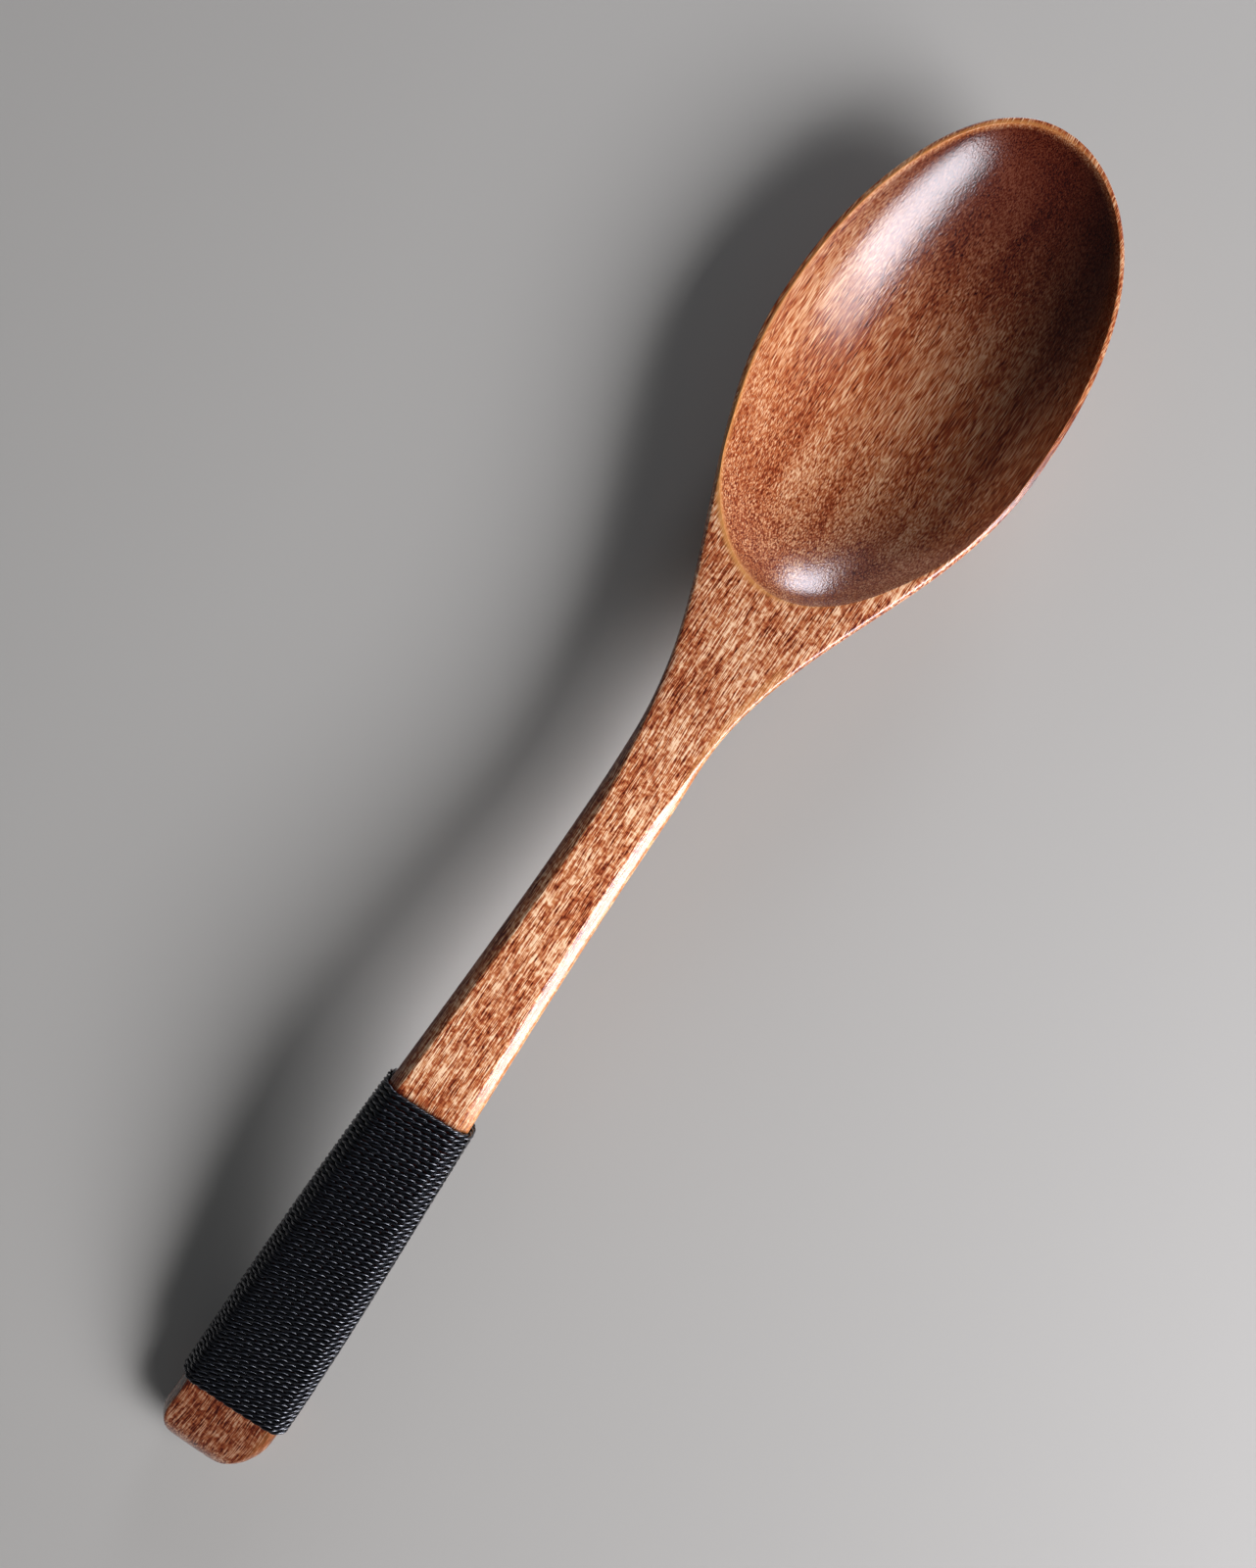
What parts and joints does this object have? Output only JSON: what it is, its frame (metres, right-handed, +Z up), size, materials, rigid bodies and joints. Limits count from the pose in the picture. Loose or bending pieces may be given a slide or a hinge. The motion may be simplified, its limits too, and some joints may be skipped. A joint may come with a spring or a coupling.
{
  "type": "wooden spoon",
  "caption": "Carved hardwood table spoon with an oval bowl, a slim arched handle and a black twisted cord wound tightly round the handle's end.",
  "frame": {"origin": "on the surface that the spoon lies on, under the middle of its length and width", "axes": "+X from the butt of the handle to the tip of the bowl, +Y across, +Z up, with the bowl open upward"},
  "size_m": [0.2301, 0.0448, 0.0194],
  "materials": {
    "lacquered_wood": "clear glossy lacquer on reddish-brown hardwood",
    "black_cord": "waxed twisted cord, soft sheen"
  },
  "bodies": {
    "root": {"spoon_body": "lacquered_wood", "cord_winding": "black_cord"}
  },
  "joints": []
}
